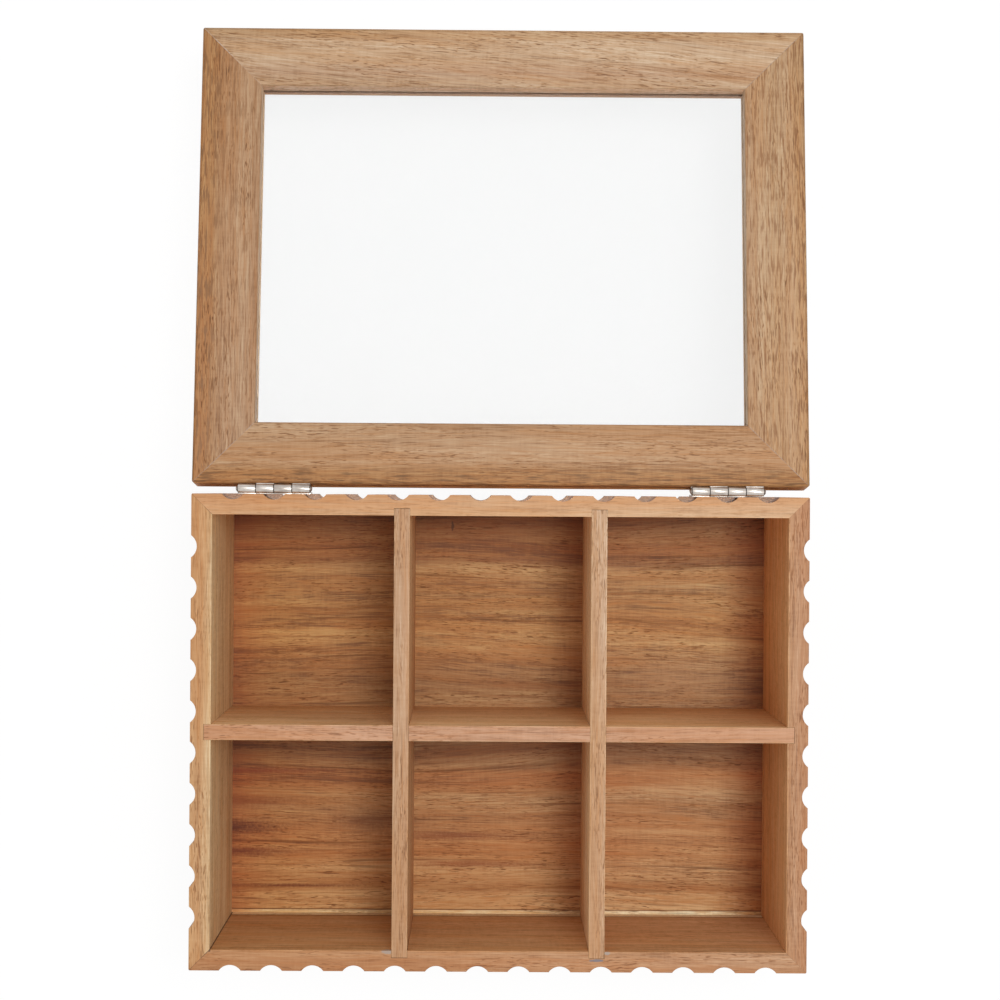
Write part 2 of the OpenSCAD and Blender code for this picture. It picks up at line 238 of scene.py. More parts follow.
def wood_group():
    """The shared group: board coordinates and tones in, colour, height and roughness out."""
    group = bpy.data.node_groups.new("planed_hardwood", "ShaderNodeTree")
    sockets = {
        "Board": "NodeSocketVector", "Cut": "NodeSocketFloat", "Dark": "NodeSocketColor",
        "Mid": "NodeSocketColor", "Light": "NodeSocketColor", "Pore": "NodeSocketColor",
        "Warm": "NodeSocketColor", "Figure": "NodeSocketFloat", "Pores": "NodeSocketFloat",
        "Waviness": "NodeSocketFloat", "Warmth": "NodeSocketFloat",
        "Lines": "NodeSocketFloat",
    }
    for name, kind in sockets.items():
        group.interface.new_socket(name, in_out="INPUT", socket_type=kind)
    for name, kind in {"Color": "NodeSocketColor", "Height": "NodeSocketFloat",
                       "Roughness": "NodeSocketFloat"}.items():
        group.interface.new_socket(name, in_out="OUTPUT", socket_type=kind)
    given = step(group, "NodeGroupInput").outputs

    def grain(place, along, across, detail=2.0):
        """Noise with that many grains per metre along the board, and across and through it."""
        return stretched_noise(group, place, (along, across, across), detail)

    def drift(place, along, across, amount):
        """Moves place sideways by slow noise, up to amount metres."""
        swing = stretched_noise(group, place, (along, across, across), 1.0, "Color")
        swing = vector_maths(group, "SUBTRACT", swing, (0.5, 0.5, 0.5))
        return vector_maths(group, "ADD", place, vector_maths(group, "MULTIPLY", swing, amount))

    seed = vector_maths(group, "MULTIPLY", STEP_IN_LOG, given["Cut"])
    place = vector_maths(group, "ADD", given["Board"], seed)
    sideways = step(group, "ShaderNodeCombineXYZ", {1: given["Waviness"], 2: given["Waviness"]})
    place = drift(place, 6.0, 26.0, sideways.outputs[0])
    place = drift(place, 60.0, 240.0, (0.0, 0.6 * MM, 0.6 * MM))

    figure = grain(place, 3.5, 95.0, 3.0)
    bands = grain(place, 11.0, 420.0, 3.0)
    fibres = grain(place, 80.0, 2300.0, 4.0)
    ripple = grain(place, 800.0, 120.0)
    shade = maths(group, "MULTIPLY", maths(group, "SUBTRACT", figure, 0.5), given["Figure"])
    for layer, weight in ((bands, BAND_SHARE), (fibres, FIBRE_SHARE), (ripple, RIPPLE_SHARE)):
        shade = maths(group, "MULTIPLY_ADD", maths(group, "SUBTRACT", layer, 0.5), weight, shade)
    shade = maths(group, "ADD", shade, 0.5)
    colour = blend(group, remap(group, shade, 0.0, 0.5), given["Dark"], given["Mid"])
    colour = blend(group, remap(group, shade, 0.5, 1.0), colour, given["Light"])

    clouds = grain(place, 9.0, 130.0, 3.0)
    threads = grain(place, 60.0, 1500.0)
    warm = maths(group, "ADD", remap(group, clouds, 0.42, 0.62), remap(group, threads, 0.45, 0.7))
    warm = maths(group, "MULTIPLY", warm, given["Warmth"], clamp=True)
    colour = blend(group, warm, colour, given["Warm"])

    crowd = remap(group, grain(place, 26.0, 170.0), 0.34, 0.62)
    short = grain(place, 280.0, 2500.0, 1.0)
    long = grain(place, 120.0, 1900.0, 1.0)
    lines = grain(place, 9.0, 560.0)
    stain = maths(group, "MAXIMUM", remap(group, short, 0.52, 0.66), remap(group, long, 0.56, 0.70))
    stain = maths(group, "MULTIPLY", maths(group, "MULTIPLY", stain, crowd), given["Pores"])
    colour = blend(group, maths(group, "MULTIPLY", stain, 0.55, clamp=True), colour, given["Warm"])
    dips = maths(group, "MAXIMUM", remap(group, short, 0.59, 0.70), remap(group, long, 0.62, 0.73))
    dark = maths(group, "MULTIPLY", maths(group, "MULTIPLY", dips, crowd), given["Pores"], clamp=True)
    streaks = maths(group, "MULTIPLY", remap(group, lines, 0.60, 0.74, 0.0, 0.75), given["Lines"])
    dark = maths(group, "MAXIMUM", dark, streaks)
    colour = blend(group, dark, colour, given["Pore"])

    height = maths(group, "MULTIPLY_ADD", dark, -1.0, maths(group, "MULTIPLY", fibres, 0.45))
    rough = maths(group, "MULTIPLY_ADD", fibres, 0.16, maths(group, "MULTIPLY_ADD", dark, 0.15, 0.46))
    step(group, "NodeGroupOutput", {"Color": colour, "Height": height, "Roughness": rough})
    return group


HARDWOOD = wood_group()
print("hardwood group:", len(HARDWOOD.nodes), "nodes")

# %% [markdown]
# ## A material for each board
# A board's material turns the box's coordinates into the board's own, so that
# the grain runs along the board whichever way it lies. Along, across and
# through the board, a colour ramp may tint it: real boards have paler sapwood
# and darker heart streaks at one edge, and they run the board's whole length.
# On the floor and the front wall, the ramps also hold painted shade: darker
# rows where the walls and dividers shade the floor, and a darker foot.
# Rows of dashes are long open pores. A whole face may be paler than the rest, as
# the inner faces are in the photograph: that tint is painted light, standing in
# for light that the lamps leave short there. A straight strip of a face may be
# tinted too: a pale strip along the front wall's foot, edged with lines of
# painted shade.
# Spots are the tree's own dark streaks and what the maker left: dried glue
# beside a divider. A thin broken line at a board's end is the gap or the filler
# in its mitre.


# %% Make a board's material
def tinted(tree, colour, axis, wander, wobble, tints):
    """Multiplies colour by a ramp of (millimetres, tint) pairs along one axis of the board."""
    span = tints[-1][0] or 1.0
    edge = maths(tree, "MULTIPLY_ADD", maths(tree, "SUBTRACT", wander, 0.5), wobble * MM, axis)
    ramp = step(tree, "ShaderNodeValToRGB", {0: maths(tree, "DIVIDE", edge, span * MM)})
    stops = ramp.color_ramp.elements
    stops.remove(stops[-1])
    stops[0].position = tints[0][0] / span
    stops[0].color = (*tints[0][1], 1.0)
    for where, tint in tints[1:]:
        stops.new(where / span).color = (*tint, 1.0)
    return blend(tree, 1.0, colour, ramp.outputs[0], "MULTIPLY")


def painted_light_faces(tree, colour, axis, low, high, tint):
    """Paints light on the two faces that lie at low and high millimetres along one axis: a paler tint where
    the lamps leave them too dark.
    """
    above = remap(tree, axis, (high - 0.2) * MM, (high - 0.05) * MM)
    below = remap(tree, axis, (low + 0.2) * MM, (low + 0.05) * MM)
    share = maths(tree, "MAXIMUM", above, below)
    return blend(tree, share, colour, blend(tree, 1.0, colour, (*tint, 1.0), "MULTIPLY"))


def strip_on_face(tree, colour, across, depth, low, high, face, tint):
    """Tints a straight strip from low to high millimetres across the board, on one face only."""
    inside = maths(tree, "MULTIPLY", remap(tree, across, (low - 0.1) * MM, (low + 0.1) * MM),
                   remap(tree, across, (high + 0.1) * MM, (high - 0.1) * MM))
    off = maths(tree, "ABSOLUTE", maths(tree, "SUBTRACT", depth, face * MM))
    share = maths(tree, "MULTIPLY", inside, remap(tree, off, 0.3 * MM, 0.1 * MM))
    return blend(tree, share, colour, blend(tree, 1.0, colour, (*tint, 1.0), "MULTIPLY"))


def mitre_line(tree, colour, along, depth, where, slope, tint, width, gaps, reach=99):
    """A thin line where the board's mitred end meets its neighbour, faint beyond reach."""
    off = maths(tree, "SUBTRACT", maths(tree, "MULTIPLY_ADD", depth, slope, where * MM), along)
    near = remap(tree, maths(tree, "ABSOLUTE", off), width * MM, width * 0.4 * MM)
    patches = stretched_noise(tree, step(tree, "ShaderNodeCombineXYZ", {0: depth}).outputs[0],
                              (gaps * 130.0, 1.0, 1.0), 2.0)
    near = maths(tree, "MULTIPLY", near, remap(tree, patches, 0.36, 0.56, 0.15, 1.0))
    near = maths(tree, "MULTIPLY", near, remap(tree, depth, (reach - 2) * MM, (reach + 2) * MM, 1.0, 0.3))
    return blend(tree, near, colour, tone(*tint))


def spot(tree, colour, board, middle, radius, tint, strength, core=1.1):
    """A mark round middle; radius is its reach along the board's axes, a smaller core is softer."""
    away = vector_maths(tree, "SUBTRACT", board, Vector(middle) * MM)
    away = vector_maths(tree, "DIVIDE", away, Vector(radius) * MM)
    ragged = stretched_noise(tree, board, (900.0, 900.0, 900.0), 2.0)
    reach = maths(tree, "MULTIPLY_ADD", ragged, 0.9, vector_maths(tree, "LENGTH", away))
    share = maths(tree, "MULTIPLY", remap(tree, reach, 1.5, core), strength)
    return blend(tree, share, colour, tone(*tint))


def dash_rows(tree, colour, board, across, inner, tint, strength):
    """Rows of dark dashes along the board's outer edge, fading out at inner millimetres."""
    rows = stretched_noise(tree, board, (110.0, 1100.0, 1100.0), 3.0)
    band = remap(tree, across, inner * MM, inner * 0.3 * MM)
    share = maths(tree, "MULTIPLY", maths(tree, "MULTIPLY", remap(tree, rows, 0.5, 0.64), band), strength)
    return blend(tree, share, colour, tone(*tint))


def board_material(name, origin, along, across, cut, tones, across_tints=(), through_tints=(),
                   along_tints=(), wobble=2.5, slant=0.0, faces=(), mitres=(), spots=(), dashes=(),
                   strips=(), **traits):
    """Wood with its grain along one direction, and its tints and marks in millimetres."""
    material = bpy.data.materials.new(name)
    material.use_nodes = True
    tree = material.node_tree
    tree.nodes.clear()
    turn = Matrix((along, across, Vector(along).cross(Vector(across))))
    place = step(tree, "ShaderNodeTexCoord").outputs["Object"]
    board = step(tree, "ShaderNodeMapping", {
        "Vector": place, "Location": -(turn @ Vector(origin)), "Rotation": turn.to_euler(),
    }).outputs[0]
    grain = step(tree, "ShaderNodeMapping", {
        "Vector": board, "Rotation": (0.0, 0.0, math.radians(slant)),
    }).outputs[0]
    wood = step(tree, "ShaderNodeGroup", node_tree=HARDWOOD)
    tree.links.new(grain, wood.inputs["Board"])
    wood.inputs["Cut"].default_value = cut
    for socket, colour in zip(("Dark", "Mid", "Light", "Pore", "Warm"), tones):
        wood.inputs[socket].default_value = tone(*colour)
    for socket, value in {"figure": 1.0, "pores": 0.8, "waviness": 0.006, "warmth": 0.3, "lines": 0.3,
                          **traits}.items():
        wood.inputs[socket.capitalize()].default_value = value
    colour = wood.outputs["Color"]

    axes = step(tree, "ShaderNodeSeparateXYZ", {0: board}).outputs
    wander = stretched_noise(tree, board, (14.0, 90.0, 90.0))
    for axis, tints in enumerate((along_tints, across_tints, through_tints)):
        if tints:
            colour = tinted(tree, colour, axes[axis], wander, wobble, tints)
    for inner, tint, strength in dashes:
        colour = dash_rows(tree, colour, board, axes[1], inner, tint, strength)
    # Painted light: each faces tint makes those faces paler than the lamps light them.
    for axis, low, high, tint in faces:
        colour = painted_light_faces(tree, colour, axes[axis], low, high, tint)
    for strip in strips:
        colour = strip_on_face(tree, colour, axes[1], axes[2], *strip)
    for depth_axis, *line in mitres:
        colour = mitre_line(tree, colour, axes[0], axes[depth_axis], *line)
    for mark in spots:
        colour = spot(tree, colour, board, *mark)
    relief = step(tree, "ShaderNodeBump", {
        "Strength": 0.35, "Distance": 0.0001, "Height": wood.outputs["Height"],
    })
    shader = step(tree, "ShaderNodeBsdfPrincipled", {
        "Base Color": colour, "Roughness": wood.outputs["Roughness"],
        "Normal": relief.outputs[0], "Specular IOR Level": 0.35,
    })
    step(tree, "ShaderNodeOutputMaterial", {"Surface": shader.outputs[0]})
    return material


# %% [markdown]
# ## Which way each board lies
# The box's boards stand on edge, so their width runs up. The lid's members lie
# in the plane of the open lid, which dips a little away from the hinges.
# A board's tones are its dark figure, its main tone, its light figure, its
# pores and its warm stain. Places and sizes on a board are in millimetres.

# %% Measure the box and the open lid
EAST, NORTH, UP = Vector((1, 0, 0)), Vector((0, 1, 0)), Vector((0, 0, 1))
AWAY = Vector((0, math.cos(past_level), -math.sin(past_level)))
half_w, half_d, wall_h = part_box("right_wall")[1].x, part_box("back_wall")[1].y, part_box("left_wall")[1].z
WALL, DIVIDER_T, FRAME_W, LID_D, LID_GAP = 8, 6, 24, 183.5, 0.3  # millimetres
closed_edge = Vector((0, half_d, wall_h + LID_GAP * MM))
swing = Matrix.Rotation(-math.pi - past_level, 4, "X")
hinge_edge = pin + swing @ (closed_edge - pin)
W, D = half_w / MM, half_d / MM
print("walls:", round(wall_h / MM, 1), "mm high - lid's hinge edge at", hinge_edge)


def tones(mid, warm=(1.0, 0.74, 0.42), pore=(0.42, 0.32, 0.24), spread=1.0):
    """A board's five tones from its main tone; spread widens the dark and light figure."""
    def scaled(factors):
        return tuple(min(255, level * factor ** 0.45) for level, factor in zip(mid, factors))
    dark = scaled([factor ** spread for factor in (0.56, 0.46, 0.36)])
    light = scaled([factor ** spread for factor in (1.22, 1.38, 1.55)])
    return dark, mid, light, scaled(pore), scaled(warm)


# %% [markdown]
# The tints below are multipliers, set for the bands and marks that this
# box shows, and then evened out by comparing average tones. The floor is one
# board, so its bands run on from one compartment to the next.

# %% Give the box's boards their wood
FILLER, GLUE, GAP = (196, 188, 186), (168, 158, 150), (74, 46, 28)
# Across the floor from its back edge: the board's own bands, and painted shade. The dark rows in the first
# 25 mm, along the back wall, and from 96 to 110 mm, in front of the cross divider, are painted shade.
FLOOR_BANDS_AND_SHADE = [
    (0, (0.50, 0.38, 0.29)), (8, (0.58, 0.46, 0.37)), (13, (0.7, 0.57, 0.43)), (20, (0.78, 0.6, 0.38)),
    (24, (0.60, 0.44, 0.28)), (27, (0.92, 0.88, 0.74)), (43, (0.96, 0.95, 0.79)), (50, (1.0, 0.94, 0.73)),
    (60, (0.98, 0.93, 0.76)), (66, (0.92, 0.9, 0.82)), (75, (0.74, 0.67, 0.56)), (83, (0.78, 0.72, 0.62)),
    (96, (0.7, 0.61, 0.55)), (103, (0.6, 0.51, 0.45)), (110, (0.76, 0.66, 0.56)), (114, (0.9, 0.68, 0.49)),
    (124, (0.92, 0.88, 0.83)), (143, (0.93, 0.74, 0.56)), (155, (1.03, 0.97, 0.88)),
    (162, (0.78, 0.59, 0.4)), (165, (1.06, 1.03, 0.96)), (177, (1.04, 0.98, 0.88)),
]
# A thin dark line of painted shade, drawn along each edge of the pale strip at the front wall's foot.
SHADE_LINE = (0.45, 0.4, 0.36)
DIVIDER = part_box("divider_right")[0].x / MM + DIVIDER_T / 2
ACROSS, DEEP = 1, 2  # the board's own directions, by number
BELOW, BEYOND, THROUGH = -9, 999, 9  # past a board's near side, past its far side, and all its thickness
FLOOR_CORNER = (-113 * MM, 88.5 * MM, 4 * MM)  # back left, on the floor's top face
# Each faces tint below is painted light: it makes a board's inner faces paler, for light that the lamps
# leave short there.
wood = {
    "front_wall": board_material(
        "front_wall_wood", (half_w, -half_d, 0), -EAST, UP, 1.0, tones((187, 141, 104)),
        along_tints=[(0, (1.02, 1.08, 1.16)), (60, (1.0, 1.0, 1.0)), (240, (0.95, 0.92, 0.84))],
        # Up the front wall: darker towards its foot, painted shade near the floor.
        across_tints=[(0, (0.84, 0.81, 0.79)), (9, (0.84, 0.81, 0.79)), (20, (0.93, 0.9, 0.88)),
                      (40, (1.0, 0.97, 0.94))],
        # A pale strip on the inner face up to 8.4 mm, and a painted shade line above it.
        strips=[(BELOW, 8.4, WALL, (1.5, 2.2, 3.1)), (8.4, 9.6, WALL, SHADE_LINE)], wobble=0.15,
        through_tints=[(0, (0.93, 0.84, 0.74)), (3.5, (0.97, 0.92, 0.88)), (6.5, (1.02, 1.03, 1.04))],
        faces=[(DEEP, BELOW, WALL, (1.34, 1.44, 1.38))],
        mitres=[(DEEP, 2 * W, -1, GAP, 0.28, 1), (DEEP, 0, 1, (120, 84, 56), 0.12, 1)],
        spots=[((W + DIVIDER + 4.6, 74, 7.6), (2.6, 3, 1.0), GLUE, 0.7),
               ((W - DIVIDER - 4.2, 74, 7.4), (1.3, 3, 0.7), GLUE, 0.75),
               ((W - DIVIDER, 74, 4.6), (3.4, 2, 0.6), (124, 120, 126), 0.9),
               ((2 * W - WALL, 40, WALL), (0.55, 300, 0.9), GAP, 0.8)]),
    "back_wall": board_material(
        "back_wall_wood", (-half_w, half_d, 0), EAST, UP, 2.0, tones((208, 162, 120), spread=0.5),
        along_tints=[(0, (0.97, 0.95, 0.93)), (120, (1.0, 1.03, 1.06)), (240, (1.02, 1.08, 1.16))],
        through_tints=[(0, (0.96, 0.88, 0.80)), (4, (1.0, 0.97, 0.94)), (7.5, (1.02, 1.06, 1.1))],
        mitres=[(DEEP, 0, 1, GAP, 0.14, 1), (DEEP, 2 * W, -1, (150, 112, 80), 0.1, 1)],
        faces=[(DEEP, BELOW, WALL, (1.4, 1.4, 1.3))], pores=0.35, figure=0.5),
    "left_wall": board_material(
        "left_wall_wood", (-half_w, 0, 0), NORTH, UP, 3.0, tones((199, 153, 108)),
        through_tints=[(0, (0.93, 0.90, 0.85)), (4, (0.98, 0.97, 0.96)), (7.5, (1.1, 1.28, 1.45))],
        faces=[(DEEP, BELOW, WALL, (1.23, 1.39, 1.49))],
        mitres=[(DEEP, D, -1, GAP, 0.12, 1), (DEEP, -D, 1, GAP, 0.12, 1)], figure=1.2),
    "right_wall": board_material(
        "right_wall_wood", (half_w, 0, 0), -NORTH, UP, 4.0, tones((189, 142, 106)),
        through_tints=[(0, (0.90, 0.80, 0.70)), (3.5, (0.94, 0.88, 0.82)), (4.5, (1.0, 1.0, 1.0)),
                      (7.5, (0.98, 0.95, 0.88))],
        faces=[(DEEP, BELOW, WALL, (1.5, 1.65, 1.6))], figure=1.2),
    "floor_panel": board_material(
        "floor_wood", FLOOR_CORNER, EAST, -NORTH, 5.0,
        tones((196, 151, 104), pore=(0.3, 0.2, 0.12), spread=1.3), across_tints=FLOOR_BANDS_AND_SHADE, wobble=4.0,
        # Along the floor: darker and redder at its left end, partly its own colour and partly painted shade
        # by the left wall, and painted shade at the right side of each compartment, near 71, 147 and 220 mm,
        # where a divider or the right wall shades the floor.
        along_tints=[(0, (0.74, 0.48, 0.33)), (6, (0.86, 0.64, 0.45)), (18, (0.94, 0.83, 0.66)),
                     (60, (0.96, 0.91, 0.84)), (71, (0.93, 0.88, 0.82)), (78, (0.96, 0.93, 0.88)),
                     (134, (0.99, 0.98, 0.96)), (147, (0.84, 0.7, 0.63)), (153, (1.0, 1.02, 1.05)),
                     (206, (1.03, 1.11, 1.2)), (220, (0.78, 0.62, 0.5)), (226, (0.68, 0.49, 0.36))],
        # A painted shade line on the floor, then a pale strip on its last millimetres by the front wall.
        strips=[(171.1, 171.6, 0, SHADE_LINE), (171.6, BEYOND, 0, (1.35, 1.9, 2.7))],
        spots=[((93.2, 9.3, 0), (0.7, 2.2, THROUGH), (70, 44, 26), 0.7),
               ((8, 113, 0), (48, 1.8, THROUGH), (136, 58, 20), 0.8, 0.4),
               ((0, 137, 0), (34, 5, THROUGH), (92, 36, 12), 0.95, 0.3),
               ((0, 147, 0), (40, 3.4, THROUGH), (116, 48, 14), 0.9, 0.3),
               ((4, 126, 0), (34, 4, THROUGH), (140, 70, 28), 0.75, 0.3),
               ((26, 161.5, 0), (44, 1.1, THROUGH), (112, 50, 14), 0.8, 0.4),
               ((60, 134, 0), (26, 7, THROUGH), (120, 70, 38), 0.6, 0.3),
               ((92, 140, 0), (36, 2.8, THROUGH), (134, 64, 24), 0.7, 0.3),
               ((100, 152, 0), (44, 2, THROUGH), (150, 76, 30), 0.65, 0.3),
               ((190, 74, 0), (32, 12, THROUGH), (206, 158, 112), 0.35, 0.3)],
        waviness=0.014, figure=2.2, warmth=0.4, lines=0.8),
    "divider_left": board_material(
        "left_divider_wood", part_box("divider_left")[0], NORTH, UP, 6.0, tones((192, 152, 118)),
        faces=[(DEEP, 0, DIVIDER_T, (1.15, 1.22, 1.15))], figure=1.5, lines=0.6),
    "divider_right": board_material(
        "right_divider_wood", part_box("divider_right")[0], NORTH, UP, 7.0, tones((197, 156, 121)),
        along_tints=[(0, (1.0, 0.99, 0.98)), (90, (1.0, 1.03, 1.05)), (174, (1.02, 1.1, 1.2))],
        faces=[(DEEP, 0, DIVIDER_T, (1.52, 1.75, 1.8))]),
    "divider_cross": board_material(
        "cross_divider_wood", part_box("divider_cross")[0], -EAST, UP, 8.0,
        tones((200, 152, 119), spread=0.7), faces=[(DEEP, 0, DIVIDER_T, (1.28, 1.5, 1.36))]),
}
print("boards of the box:", len(wood))

# %% [markdown]
# The lid's members have orange heartwood along their outer edges. The mitres
# were filled before sanding, and the filler shows as a pale broken line. Under
# the far end of the glass, a line of painted shade where the glass sits in its
# groove, and a brown lip of the rail, show.

# %% Give the lid's members their wood
NEAR_FILLER, FAR_FILLER, DULL_FILLER = (164, 148, 140), (160, 146, 140), (150, 140, 134)
# The faces tints of the lid's members are painted light too: paler edge and inner faces.
wood.update({
    "lid_hinge_rail": board_material(
        "hinge_rail_wood", hinge_edge, EAST, AWAY, 9.0, tones((188, 149, 113)),
        across_tints=[(0, (0.95, 0.76, 0.54)), (1.5, (0.86, 0.7, 0.48)), (4.5, (0.87, 0.74, 0.54)),
                      (8.5, (0.93, 0.89, 0.84)), (12, (0.96, 0.94, 0.92)), (24, (0.96, 0.97, 0.98))],
        mitres=[(ACROSS, -W, 1, NEAR_FILLER, 0.16, 1), (ACROSS, W, -1, FAR_FILLER, 0.16, 2)],
        spots=[((W - 14, 11, 12), (5, 5, THROUGH), (188, 176, 160), 0.35)],
        dashes=[(9, (112, 78, 48), 0.75)], faces=[(ACROSS, 0, BEYOND, (1.28, 1.3, 1.28))], pores=0.95),
    "lid_front_rail": board_material(
        "front_rail_wood", hinge_edge + AWAY * LID_D * MM, -EAST, -AWAY, 10.0, tones((196, 163, 130)),
        across_tints=[(0, (0.92, 0.86, 0.76)), (3, (0.88, 0.80, 0.68)), (5, (1.0, 1.0, 1.0)),
                      (12, (1.0, 1.0, 1.0)), (18, (0.88, 0.82, 0.8)), (22, (0.92, 0.9, 0.88))],
        mitres=[(ACROSS, W, -1, FILLER, 0.2, 1, 11), (ACROSS, -W, 1, DULL_FILLER, 0.14, 2)],
        # The first spot is a line of painted shade in the glass groove; the second is the rail's brown lip
        # under the glass.
        spots=[((W, FRAME_W, -8.4), (BEYOND, 0.9, 0.8), (84, 56, 34), 0.85),
               ((W, FRAME_W, -10.9), (BEYOND, 0.9, 2.4), (150, 112, 84), 0.7)],
        faces=[(ACROSS, BELOW, FRAME_W, (1.46, 1.45, 1.55))], slant=5.0, warmth=0.25, pores=0.95),
    "lid_left_stile": board_material(
        "left_stile_wood", hinge_edge - EAST * half_w, -AWAY, EAST, 11.0, tones((183, 144, 109)),
        across_tints=[(0, (0.86, 0.69, 0.45)), (5, (0.86, 0.72, 0.5)), (8, (0.87, 0.79, 0.67)),
                      (12, (0.92, 0.9, 0.87)), (16, (0.94, 0.93, 0.91)), (24, (0.87, 0.85, 0.83))],
        mitres=[(ACROSS, 0, -1, NEAR_FILLER, 0.16, 1), (ACROSS, -LID_D, 1, FILLER, 0.12, 1, 11)],
        dashes=[(10, (118, 80, 46), 0.65), (60, (138, 96, 60), 0.55)],
        faces=[(ACROSS, BELOW, FRAME_W, (1.5, 1.85, 2.3))], pores=0.95),
    "lid_right_stile": board_material(
        "right_stile_wood", hinge_edge + EAST * half_w, AWAY, -EAST, 12.0, tones((188, 150, 114)),
        across_tints=[(0, (0.93, 0.86, 0.72)), (3.5, (0.97, 0.96, 0.88)), (6, (1.0, 1.03, 1.04)),
                      (12, (1.0, 1.03, 1.01)), (24, (0.94, 0.92, 0.9))],
        mitres=[(ACROSS, 0, 1, FAR_FILLER, 0.16, 2), (ACROSS, LID_D, -1, DULL_FILLER, 0.14, 2)],
        dashes=[(7, (124, 86, 54), 0.5), (60, (140, 94, 56), 0.7)],
        faces=[(ACROSS, BELOW, FRAME_W, (1.5, 1.85, 2.3))], pores=0.95),
})
print("wooden boards:", len(wood))


# %% [markdown]
# ## Finishing a piece
# Each finished piece is one mesh in the box's own frame. Its sharp edges are
# eased with a small bevel, as a sanding block leaves them, it is tied to the
# body that it moves with, and the CAD node that it stands for is hidden. Edges
# inside a joint stay almost sharp, so that the two boards still meet in a fine line.


# %% Ease edges and hand a piece over
BEVEL_STEPS, SAME_POINT, FLAT = 2, 1e-6, math.radians(0.5)


def crease_angle(edge):
    """How sharply two faces meet, in degrees; 0 for an open edge."""
    return math.degrees(edge.calc_face_angle(0.0)) if len(edge.link_faces) == 2 else 0.0


def apply_modifiers(piece):
    """Makes what the modifiers give the piece's own plain mesh."""
    bpy.context.view_layer.update()
    made = piece.evaluated_get(bpy.context.evaluated_depsgraph_get())
    mesh = bpy.data.meshes.new_from_object(made)
    piece.modifiers.clear()
    piece.data = mesh


def ease(piece, width, joint=None, joint_share=0.12, least=30, short=0.0):
    """Bevels the edges sharper than least degrees; joint(edge) marks those that lie in a joint."""
    shape = bmesh.new()
    shape.from_mesh(piece.data)
    weight = shape.edges.layers.float.new("bevel_weight_edge")
    for edge in shape.edges:
        if crease_angle(edge) > least and edge.calc_length() > short:
            edge[weight] = joint_share if joint and joint(edge) else 1.0
    shape.to_mesh(piece.data)
    shape.free()
    bevel = piece.modifiers.new("eased_edges", "BEVEL")
    bevel.limit_method = "WEIGHT"
    bevel.width = width
    bevel.segments = BEVEL_STEPS
    bevel.harden_normals = True
    piece.data.shade_smooth()
    apply_modifiers(piece)
    piece.data.name = piece.name


def merged_copy(node):
    """A new object from a CAD node: its loose triangles are merged and its flat faces made whole."""
    mesh = bpy.data.meshes.new(node + "_eased")
    shape = bmesh.new()
    shape.from_mesh(nodes[node].data)
    bmesh.ops.remove_doubles(shape, verts=shape.verts, dist=SAME_POINT)
    bmesh.ops.dissolve_limit(shape, angle_limit=FLAT, verts=shape.verts, edges=shape.edges)
    shape.to_mesh(mesh)
    shape.free()
    piece = bpy.data.objects.new(node + "_eased", mesh)
    bpy.context.scene.collection.objects.link(piece)
    return piece


def hand_over(piece, body, node, material):
    """Gives a finished piece its finish and its body, and hides the CAD node that it stands for."""
    piece.data.materials.clear()
    piece.data.materials.append(material)
    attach(piece, body)
    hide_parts(node)
    print(piece.name, len(piece.data.polygons), "faces")


# %% [markdown]
# ## The fluted walls
# On the real box each wall is a planed board, mitred at both ends, and a round
# router bit has run up its outer face once every 16 mm. Here the plain board is
# a mesh, and a Geometry Nodes tree does the router's work: it lines up round
# cutters at the pitch, and takes them off the board with a Boolean. That way the
# number of flutes follows from the board, as in the CAD source. The cutters are
# a little longer than the board is high, so that they leave no skin at its ends.


# %% Build the flute cutter tree
BIT_SIDES, PAST_BOARD = 96, 1.2


